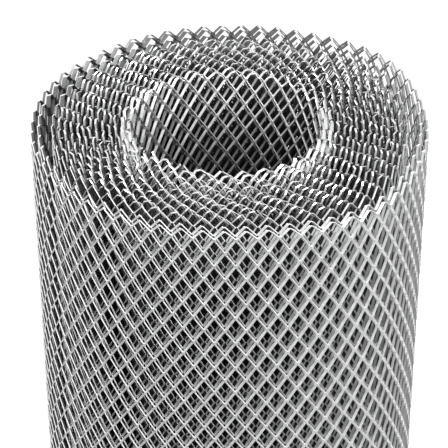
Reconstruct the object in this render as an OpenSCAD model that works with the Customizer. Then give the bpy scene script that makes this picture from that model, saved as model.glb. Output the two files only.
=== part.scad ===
// Roll of expanded metal mesh, standing on one of its wound ends.
// Millimetres, +Z up, origin at the centre of the end that it stands on.
// One long sheet is wound round an open bore. The roll is a single turned body:
// each turn of the sheet ends in a flat ring at the top and at the bottom, and the
// air between two turns shows there as a deep ring-shaped groove.

/* [Sheet] */
// Width of the sheet, which is the height of the standing roll
sheet_width = 1000; // [300:10:1500]
// Overall thickness of the raised mesh
mesh_thickness = 4; // [2:0.25:6]
// Height of one mesh diamond, along the roll
diamond_height = 23; // [10:0.5:40]

/* [Winding] */
// Diameter of the open bore
bore_diameter = 142; // [60:1:300]
// Turns of the sheet, counted across the wall of the roll
turns = 14; // [6:1:24]
// Air between two neighbouring turns
turn_gap = 1.75; // [1:0.25:6]
// Turns on the outside that have sprung loose from the tight ones
loose_turns = 3; // [1:1:5]
// Extra air between the loose turns and the tight ones
slack_gap = 5.25; // [0:0.25:15]

/* [Hidden] */

// Colour of bright galvanised steel
galvanised = [0.72, 0.73, 0.74];
// Facets of the preview; the turned faces are true cylinders
$fn = 180;
// Amount by which a cutting shape passes the face that it opens
overcut = 1;

bore_r = bore_diameter / 2;
// A groove shows one whole diamond of the mesh below the end
groove_depth = diamond_height;
// Turns on the bore's side of the slack
tight_turns = turns - loose_turns;

// Radius at the inner face of turn i, counted from 0 at the bore
function turn_r(i) =
    bore_r + i * (mesh_thickness + turn_gap) + (i >= tight_turns ? slack_gap : 0);

roll_r = turn_r(turns - 1) + mesh_thickness;

// Half section of the full wall, from the bore to the outermost turn
module wall_section() {
    translate([bore_r, 0])
        square([roll_r - bore_r, sheet_width]);
}

// Half section of the groove outside turn i, at the end whose lower edge is at z
module groove_section(i, z) {
    inner_r = turn_r(i) + mesh_thickness;
    translate([inner_r, z])
        square([turn_r(i + 1) - inner_r, groove_depth + overcut]);
}

// Grooves between all the turns, at the foot and at the head of the roll
module groove_sections() {
    for (i = [0 : turns - 2]) {
        groove_section(i, -overcut);
        groove_section(i, sheet_width - groove_depth);
    }
}

// The wound sheet as one turned body with its bore
module mesh_roll() {
    color(galvanised)
        rotate_extrude()
            difference() {
                wall_section();
                groove_sections();
            }
}

mesh_roll();
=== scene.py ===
import math
import bpy
import numpy as np
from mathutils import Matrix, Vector


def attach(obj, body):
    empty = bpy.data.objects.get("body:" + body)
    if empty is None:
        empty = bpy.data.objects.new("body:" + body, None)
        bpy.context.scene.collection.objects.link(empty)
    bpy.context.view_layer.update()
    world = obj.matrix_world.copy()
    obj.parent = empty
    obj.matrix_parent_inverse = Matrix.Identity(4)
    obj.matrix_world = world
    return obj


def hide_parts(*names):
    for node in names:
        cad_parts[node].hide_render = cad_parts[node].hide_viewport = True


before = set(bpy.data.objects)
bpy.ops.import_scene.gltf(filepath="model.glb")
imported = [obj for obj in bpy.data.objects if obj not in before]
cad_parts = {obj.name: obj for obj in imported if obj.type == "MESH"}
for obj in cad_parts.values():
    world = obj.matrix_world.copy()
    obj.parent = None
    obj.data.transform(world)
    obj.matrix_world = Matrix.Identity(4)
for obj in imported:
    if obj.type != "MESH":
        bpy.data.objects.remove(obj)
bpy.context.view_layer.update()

# the flat sheet before it is wound, in metres
sheet = {
    "diamondWidth": 0.0156,      # round the roll
    "halfRows": 85,              # half diamonds between the first and the last row of knuckles
    "tooth": 0.62,               # height of the teeth at the two cut edges, in half diamonds
    "toothShare": 1.0,           # how far a tooth's two strands have come together there, 1 being closed
    "strandWidth": 0.0023,       # level cut through a strand, across its face
    "strandThick": 0.0009,       # the same, through the metal
    "lean": 45.0,                # degrees that the face is turned out of the sheet
    "sideStep": 0.0015,          # between the two strands of a knuckle, along the sheet
    "depthStep": 0.0006,         # the same, through the sheet
    "bond": 0.0022,              # straight part of each knuckle
    "archRise": 0.0016,          # height of the bent-over tips of the inner turns' teeth
    "archShare": 0.62,           # share of a half diamond at which they begin
    "bent": 0.0009,              # how far those tips stray
    "seed": 5,                   # of the straying
    "endRows": 3,                # half diamonds that the toothed ends of the inner turns take in
    "mapGap": 0.08,              # bare share at both sides of a strand's strip in the baked map
    "mapEndGap": 0.1,            # the same for its two ends
    "mapEndHeight": 0.0005,      # height of those ends in the map
}

# how it is wound, counted in turns from the free edge in the bore
roll = {
    "height": 1.0,
    "firstRadius": 0.0730,       # middle of the sheet at the bore
    "startAngle": -142.399,      # degrees, where the inner free edge stands
    "tightTurns": 13.3997,       # after these the sheet has sprung loose
    "looseTurns": 2.2396,
    "loosePitch": 0.00513,       # climb in one loose turn
    "slack": 0.00543,            # extra air between the tight and the loose turns
    "slackTurns": 0.3319,        # part of a turn in which that air opens
    "lag": 0.00243,              # how far the last turn hangs over to one side
    "lagSide": -97.45,           # degrees, which side
    "push": 0.00175,             # how far all the loose turns are pushed to one side
    "pushSide": 94.61,           # degrees, which side
    "bulge": 0.0080,             # the two soft corners of the outer turns
    "bulgeSide": -5.0,           # degrees, halfway between those corners
    "bulgeFrom": 6.0,            # turn at which they begin
    "dip": 0.0012,               # how unevenly the head's teeth stand
    "dipWaves": (0.83, 0.31),    # radians of its two waves to a radian wound
    "dipStart": 0.6,             # radians, where the first wave starts
    "boreTurns": 2,              # turns that show in the bore
    "outerTurns": 3,             # turns that show outside
    "samples": 40000,            # points at which the winding is worked out
    "behind": 0.25,              # sine of the side from which strands are out of the camera's sight
}


# radius of the sheet's middle against the angle wound: a steady climb that makes each tight turn two
# diamonds longer than the one inside it, then a soft step out to the loose turns, which lean by
# cosines of the side; the corners are the fourth power of a sine, less its mean
def windRadius(angle):
    turn = angle / (2 * np.pi)
    place = angle + math.radians(roll["startAngle"])
    past = turn - roll["tightTurns"]
    climb = sheet["diamondWidth"] / math.pi * np.minimum(turn, roll["tightTurns"])
    climb = climb + roll["loosePitch"] * np.maximum(past, 0)
    step = np.clip(past / roll["slackTurns"], 0, 1)
    step = step * step * (3 - 2 * step)
    push = roll["slack"] + roll["push"] * np.cos(place - math.radians(roll["pushSide"]))
    lag = np.clip(past / roll["looseTurns"], 0, 1) * np.cos(place - math.radians(roll["lagSide"]))
    side = place - math.radians(roll["bulgeSide"])
    corner = np.where(np.cos(side) > 0, np.sin(2 * side) ** 4, 0) - 3 / 16
    grown = np.clip((turn - roll["bulgeFrom"]) / (roll["tightTurns"] - roll["bulgeFrom"]), 0, 1)
    return roll["firstRadius"] + climb + step * push + roll["lag"] * lag + roll["bulge"] * grown * corner


# length along the sheet against the angle wound: running sums of radius times angle
turns = roll["tightTurns"] + roll["looseTurns"]
windAngle = np.linspace(0, 2 * np.pi * turns, roll["samples"])
windR = windRadius(windAngle)
windS = np.concatenate([[0], np.cumsum((windR[1:] + windR[:-1]) / 2 * np.diff(windAngle))])
rng = np.random.default_rng(sheet["seed"])
columnWidth = sheet["diamondWidth"] / 2
halfRow = roll["height"] / (sheet["halfRows"] + 2 * sheet["tooth"])
columns = np.arange(int(windS[-1] / columnWidth))
turnOf = np.interp(columns * columnWidth, windS, windAngle) / (2 * np.pi)
print("sheet length", round(windS[-1], 3), "half diamonds along it", len(columns))


# a point of the sheet (length along, height, distance out) carried onto the spiral, with the head
# dipping by the product of two slow waves
def ontoRoll(along, up, out):
    angle = np.interp(along, windS, windAngle)
    radius = np.interp(angle, windAngle, windR) + out
    place = angle + math.radians(roll["startAngle"])
    quick, slow = roll["dipWaves"]
    wave = np.sin(quick * angle + roll["dipStart"]) * np.cos(slow * angle)
    dip = roll["dip"] * (0.5 + 0.5 * wave)
    up = up * (1 - dip / roll["height"])
    return np.stack([radius * np.cos(place), radius * np.sin(place), up], -1)


# heights of the level cuts, their rows, and how far on to the next row each lies: a knuckle with a
# straight part gives two cuts, one without gives one, a plain tooth ends in one, an arched one in two
def levelCuts(first, last, withBond, arched):
    rows = np.arange(first, last + 1)
    up = (sheet["tooth"] + rows) * halfRow
    if withBond:
        up = (up[:, None] + np.array([-0.5, 0.5]) * sheet["bond"]).ravel()
        rows = np.repeat(rows, 2)
    part = np.zeros(len(up))
    tipUp = np.array([0, sheet["archRise"]] if arched else [0])
    tipPart = np.array([1, sheet["archShare"]] if arched else [sheet["toothShare"]])
    if first == 0:
        up, rows, part = np.r_[tipUp, up], np.r_[0 * tipUp, rows], np.r_[tipPart, part]
    if last == sheet["halfRows"]:
        up, part = np.r_[up, roll["height"] - tipUp[::-1]], np.r_[part, tipPart[::-1]]
        rows = np.r_[rows, last + 0 * tipUp]
    return rows.astype(int), up, part


# level cut of a strand as (share across, share through) going round it, and its sides that look inwards
strandCuts = {
    "full": (np.array([[-0.5, 0.5], [0.5, 0.5], [0.5, -0.5], [-0.5, -0.5]]), [0, 0, 1, 1]),
    "slim": (np.array([[-0.3, 0.4], [0.3, 0.4], [0.3, -0.4], [-0.3, -0.4]]), [0, 0, 1, 1]),
    "wide": (np.array([[-0.8, 0.5], [0.8, 0.5], [0.8, -0.5], [-0.8, -0.5]]), [0, 0, 1, 1]),
    "spare": (np.array([[-0.5, 0.5], [0.5, 0.5], [0.3, -0.5]]), [0, 0, 1]),
}


# zigzag ribbons, one for each half diamond along the sheet: the cut leans out of the sheet and swings
# left and right in turn from knuckle to knuckle, where two ribbons meet a side step and a depth step
# apart; material 0 is the outside of strands that rise to the right, 1 of the others, 2 the inside,
# 3 the ends
def ribbons(which, first, last, kind, withBond=False, arched=False):
    cut, inside = strandCuts[kind]
    cut = cut * [sheet["strandWidth"], sheet["strandThick"]]
    lean = math.radians(sheet["lean"])
    cutAlong = cut[:, 0] * math.cos(lean) - cut[:, 1] * math.sin(lean)
    cutOut = cut[:, 0] * math.sin(lean) + cut[:, 1] * math.cos(lean)
    rows, up, part = levelCuts(first, last, withBond, arched)
    right = (which[:, None] + rows) % 2
    right = right + (1 - 2 * right) * part
    along = which[:, None] * columnWidth + sheet["sideStep"] / 2
    along = along + right * (columnWidth - sheet["sideStep"])
    stray = sheet["bent"] * arched * part * rng.standard_normal((2, len(which), len(part)))
    along = (along + stray[0])[:, :, None] + cutAlong
    out = ((0.5 - right) * sheet["depthStep"] + stray[1])[:, :, None] + cutOut
    points = ontoRoll(along, up[None, :, None] + 0 * along, out).reshape(-1, 3)
    count, cuts, sides = along.shape
    toRight = (right[:, 1:] >= right[:, :-1])[:, :, None]
    slots = np.where(np.array(inside) == 1, 2, np.where(toRight, 0, 1))
    slots[:, (part[1:] > 0) & (part[:-1] > 0)] = 3
    side = np.arange(sides)
    base = (np.arange(count)[:, None, None] * cuts + np.arange(cuts - 1)[:, None]) * sides
    beside = (side + 1) % sides
    walls = np.stack([base + side, base + beside, base + sides + beside, base + sides + side], -1)
    foot = np.arange(count)[:, None] * cuts * sides + side[::-1]
    head = np.arange(count)[:, None] * cuts * sides + (cuts - 1) * sides + side
    strip = np.arange(count)[:, None, None] * sides + side + np.zeros((cuts - 1, 1))
    low, high = up[:-1, None] + 0 * strip, up[1:, None] + 0 * strip
    near, far = strip + sheet["mapGap"], strip + (1 - sheet["mapGap"])
    wallMap = np.stack([near, low, far, low, far, high, near, high], -1)
    endAcross = np.linspace(sheet["mapEndGap"], 1 - sheet["mapEndGap"], sides)
    endMap = np.stack([endAcross, sheet["mapEndHeight"] * (side % 2)], -1)
    endMap = endMap + np.stack([np.arange(count) * sides, np.zeros(count)], -1)[:, None, :]
    return {
        "points": points,
        "faces": [walls.reshape(-1, 4), foot, head],
        "maps": [wallMap.reshape(-1, 2), endMap.reshape(-1, 2), (endMap + [1, 0]).reshape(-1, 2)],
        "slots": [slots.ravel(), np.full(2 * count, 3)],
        "strips": count * sides,
    }


# joins ribbons into one mesh: points one after another, their faces with the numbers moved on to match
def addMesh(name, jobs, materials):
    points = np.concatenate([job["points"] for job in jobs])
    pointShift = np.cumsum([0] + [len(job["points"]) for job in jobs])
    stripShift = np.cumsum([0] + [job["strips"] for job in jobs])
    corners = np.concatenate([(f + s).ravel() for job, s in zip(jobs, pointShift) for f in job["faces"]])
    sizes = np.concatenate([np.full(len(f), f.shape[1]) for job in jobs for f in job["faces"]])
    slots = np.concatenate([s for job in jobs for s in job["slots"]])
    spread = np.concatenate([m + [s, 0] for job, s in zip(jobs, stripShift) for m in job["maps"]])
    spread = spread / [stripShift[-1], roll["height"]]
    mesh = bpy.data.meshes.new(name)
    mesh.vertices.add(len(points))
    mesh.vertices.foreach_set("co", points.astype(np.float32).ravel())
    mesh.loops.add(len(corners))
    mesh.loops.foreach_set("vertex_index", corners.astype(np.int32))
    mesh.polygons.add(len(sizes))
    starts = np.cumsum(sizes) - sizes
    mesh.polygons.foreach_set("loop_start", starts.astype(np.int32))
    mesh.update(calc_edges=True)
    mesh.polygons.foreach_set("material_index", slots.astype(np.int32))
    mesh.uv_layers.new(name="OFBake").data.foreach_set("uv", spread.astype(np.float32).ravel())
    mesh.shade_flat()
    piece = bpy.data.objects.new(name, mesh)
    bpy.context.scene.collection.objects.link(piece)
    for mat in materials:
        mesh.materials.append(mat)
    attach(piece, "root")
    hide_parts("mesh_roll")
    print(name, "triangles", int(np.sum(sizes - 2)))


# zinc on steel
steel = {
    "face": (0.52, 0.525, 0.53),         # strands that rise to the right
    "edge": (0.92, 0.92, 0.92),          # painted light: a paler copy of the zinc for strands that rise to the left
    "painted_shade_inside": (0.13, 0.131, 0.133),        # painted shade: a dark copy of the zinc for the inside of the outer turns
    "depth": (0.46, 0.463, 0.466),       # turns in between
    # turns in the bore: a paler copy of the zinc, painted light, going down to painted shade with depth
    "bore": (0.74, 0.743, 0.746),
    "tip": (0.66, 0.663, 0.666),         # bent tips
    "metal": 0.6,
    "roughLow": 0.28,
    "roughHigh": 0.42,
    "spangle": 220,              # scale of the patches
    "spangleDetail": 3,
    "spangleDark": 0.86,         # their darkest and lightest share of the colour
    "spangleLight": 1.1,
    "spangleFrom": 0.3,          # noise at which those two shares are reached
    "spangleTo": 0.7,
    "grain": 0.12,               # strength of the bump
    "grainScale": 1600,
    "grainDepth": 0.0002,
    "depthShade": 0.08,          # painted shade: colour left on the turns that daylight doesn't reach
    "depthFade": 0.014,          # how far below the ends that comes about
    "boreShade": 0.20,           # the same painted shade in the bore
    "boreFade": 0.10,
}


# spangled zinc: one noise gives colour and roughness, a finer one the bump; where a fade is given the
# colour goes down to painted shade by a smooth step of the distance from the nearer end
def galvanised(name, color, fade=0.0, shade=1.0):
    mat = bpy.data.materials.new(name)
    mat.use_nodes = True
    nodes, links = mat.node_tree.nodes, mat.node_tree.links
    shader = nodes["Principled BSDF"]
    shader.inputs["Metallic"].default_value = steel["metal"]
    place = nodes.new("ShaderNodeTexCoord")
    spangle = nodes.new("ShaderNodeTexNoise")
    spangle.inputs["Scale"].default_value = steel["spangle"]
    spangle.inputs["Detail"].default_value = steel["spangleDetail"]
    links.new(place.outputs["Object"], spangle.inputs["Vector"])
    tint = nodes.new("ShaderNodeValToRGB")
    dark, light = tint.color_ramp.elements
    dark.position, light.position = steel["spangleFrom"], steel["spangleTo"]
    dark.color = (*[c * steel["spangleDark"] for c in color], 1)
    light.color = (*[min(c * steel["spangleLight"], 1) for c in color], 1)
    links.new(spangle.outputs["Fac"], tint.inputs["Fac"])
    rough = nodes.new("ShaderNodeMapRange")
    rough.inputs["To Min"].default_value = steel["roughLow"]
    rough.inputs["To Max"].default_value = steel["roughHigh"]
    links.new(spangle.outputs["Fac"], rough.inputs["Value"])
    links.new(rough.outputs["Result"], shader.inputs["Roughness"])
    grain = nodes.new("ShaderNodeTexNoise")
    grain.inputs["Scale"].default_value = steel["grainScale"]
    links.new(place.outputs["Object"], grain.inputs["Vector"])
    bump = nodes.new("ShaderNodeBump")
    bump.inputs["Strength"].default_value = steel["grain"]
    bump.inputs["Distance"].default_value = steel["grainDepth"]
    links.new(grain.outputs["Fac"], bump.inputs["Height"])
    links.new(bump.outputs["Normal"], shader.inputs["Normal"])
    if not fade:
        links.new(tint.outputs["Color"], shader.inputs["Base Color"])
        return mat
    parts = nodes.new("ShaderNodeSeparateXYZ")
    links.new(place.outputs["Object"], parts.inputs[0])
    fromMiddle = nodes.new("ShaderNodeMath")
    fromMiddle.operation = "SUBTRACT"
    fromMiddle.inputs[1].default_value = roll["height"] / 2
    links.new(parts.outputs["Z"], fromMiddle.inputs[0])
    away = nodes.new("ShaderNodeMath")
    away.operation = "ABSOLUTE"
    links.new(fromMiddle.outputs[0], away.inputs[0])
    # painted shade: the colour is scaled down away from the roll's two ends
    daylight = nodes.new("ShaderNodeMapRange")
    daylight.interpolation_type = "SMOOTHSTEP"
    daylight.inputs["From Min"].default_value = roll["height"] / 2 - fade
    daylight.inputs["From Max"].default_value = roll["height"] / 2
    daylight.inputs["To Min"].default_value = shade
    links.new(away.outputs[0], daylight.inputs["Value"])
    dim = nodes.new("ShaderNodeVectorMath")
    dim.operation = "SCALE"
    links.new(tint.outputs["Color"], dim.inputs[0])
    links.new(daylight.outputs["Result"], dim.inputs["Scale"])
    links.new(dim.outputs[0], shader.inputs["Base Color"])
    return mat


# half diamonds whose turn number lies between two bounds
def turnsFrom(low, high):
    return columns[(turnOf >= low) & (turnOf < high)]


face = galvanised("zinc_face", steel["face"])
# strands that rise to the left and the outer turns' ends take a paler copy of the zinc: painted light
edge = galvanised("zinc_edge", steel["edge"])
# the inside of the outer turns takes a dark copy of the zinc: painted shade
outerSteel = [face, edge, galvanised("zinc_painted_shade_inside", steel["painted_shade_inside"]), edge]
# the bore's turns: a paler copy of the zinc, painted light, that goes down to painted shade with depth
boreFace = galvanised("bore_painted_light_and_shade", steel["bore"], steel["boreFade"], steel["boreShade"])
tip = galvanised("cut_tip", steel["tip"])
boreSteel = [boreFace, boreFace, boreFace, tip]
# the turns between go down to painted shade below their ends
depthFace = galvanised("depth_face_painted_shade", steel["depth"], steel["depthFade"], steel["depthShade"])
# the turns between take that paler copy too, painted light, with the same painted shade away from the
# ends
depthLightAndShade = galvanised("depth_edge", steel["edge"], steel["depthFade"], steel["depthShade"])
depthSteel = [depthFace, depthLightAndShade, depthFace, tip]

rows, endRows = sheet["halfRows"], sheet["endRows"]
last = turnOf[-1]
between = turnsFrom(roll["boreTurns"], last - roll["outerTurns"])
inner, middle, outer = np.array_split(between, 3)
addMesh("outer_turn", [ribbons(turnsFrom(last - 1, last + 1), 0, rows, "full", True)], outerSteel)
# the second and third turns are wider behind, where they fill the rim
behind = np.sin(2 * np.pi * turnOf + math.radians(roll["startAngle"])) > roll["behind"]
for name, first, kind in (("second_turn", last - 2, "full"), ("third_turn", last - 3, "slim")):
    which = turnsFrom(first, first + 1)
    near, far = which[~behind[which]], which[behind[which]]
    addMesh(name, [ribbons(near, 0, rows, kind), ribbons(far, 0, rows, "wide")], outerSteel)
addMesh("bore_turn", [ribbons(turnsFrom(0, 1), 0, rows, "full", True, True)], boreSteel)
addMesh("bore_backing", [ribbons(turnsFrom(1, 2), 0, rows, "full", False, True)], boreSteel)
for name, which in (("inner_turns", inner), ("middle_turns", middle), ("outer_turns", outer)):
    addMesh(name, [ribbons(which, endRows, rows - endRows, "spare")], depthSteel)
foot = ribbons(between, 0, endRows, "slim", False, True)
head = ribbons(between, rows - endRows, rows, "slim", False, True)
addMesh("wound_ends", [foot, head], depthSteel)
print("roll built")

# floor, light and camera
studio = {
    "floorSize": 8.0,
    "floorColor": (0.35, 0.35, 0.35),
    "floorRough": 0.9,
    "floorWhite": 0.75,
    "sky": 0.28,
    "keyPower": 175.0,
    "keyPlace": (-0.18, -0.9, 3.1),
    "keyAim": (0, 0, 0.95),
    "keySize": 0.7,
    "lens": 163.6,               # mm
    "sensor": 36,                # mm across
    "farthest": 50,              # metres that the camera sees
    "cameraPlace": (-0.0035, -1.3454, 1.8169),
    "cameraTilt": 55.8,          # degrees up from straight down
}

bpy.ops.mesh.primitive_plane_add(size=studio["floorSize"])
floor = bpy.context.object
floor.name = "floor"
paint = bpy.data.materials.new("floor_paint")
paint.use_nodes = True
nodes, links = paint.node_tree.nodes, paint.node_tree.links
shader = nodes["Principled BSDF"]
shader.inputs["Base Color"].default_value = (*studio["floorColor"], 1)
shader.inputs["Roughness"].default_value = studio["floorRough"]
shader.inputs["Emission Color"].default_value = (1, 1, 1, 1)
# the floor's white is for the camera, mirrors and glass only
path = nodes.new("ShaderNodeLightPath")
direct = nodes.new("ShaderNodeMath")
direct.operation = "MAXIMUM"
links.new(path.outputs["Is Camera Ray"], direct.inputs[0])
links.new(path.outputs["Is Glossy Ray"], direct.inputs[1])
seen = nodes.new("ShaderNodeMath")
seen.operation = "MAXIMUM"
links.new(direct.outputs[0], seen.inputs[0])
links.new(path.outputs["Is Transmission Ray"], seen.inputs[1])
white = nodes.new("ShaderNodeMath")
white.operation = "MULTIPLY"
white.inputs[1].default_value = studio["floorWhite"]
links.new(seen.outputs[0], white.inputs[0])
links.new(white.outputs[0], shader.inputs["Emission Strength"])
floor.data.materials.append(paint)

world = bpy.data.worlds.new("studio")
world.use_nodes = True
world.node_tree.nodes["Background"].inputs["Color"].default_value = (1, 1, 1, 1)
world.node_tree.nodes["Background"].inputs["Strength"].default_value = studio["sky"]
bpy.context.scene.world = world

lamp = bpy.data.lights.new("key", "AREA")
lamp.size = studio["keySize"]
lamp.energy = studio["keyPower"]
key = bpy.data.objects.new("key", lamp)
bpy.context.scene.collection.objects.link(key)
key.location = studio["keyPlace"]
toAim = Vector(studio["keyAim"]) - key.location
key.rotation_euler = toAim.to_track_quat("-Z", "Y").to_euler()

lens = bpy.data.cameras.new("camera")
lens.lens = studio["lens"]
lens.sensor_width = studio["sensor"]
lens.clip_end = studio["farthest"]
camera = bpy.data.objects.new("camera", lens)
bpy.context.scene.collection.objects.link(camera)
camera.location = studio["cameraPlace"]
camera.rotation_euler = (math.radians(studio["cameraTilt"]), 0, 0)
bpy.context.scene.camera = camera
bpy.context.scene.view_settings.view_transform = "Standard"
print("studio ready")
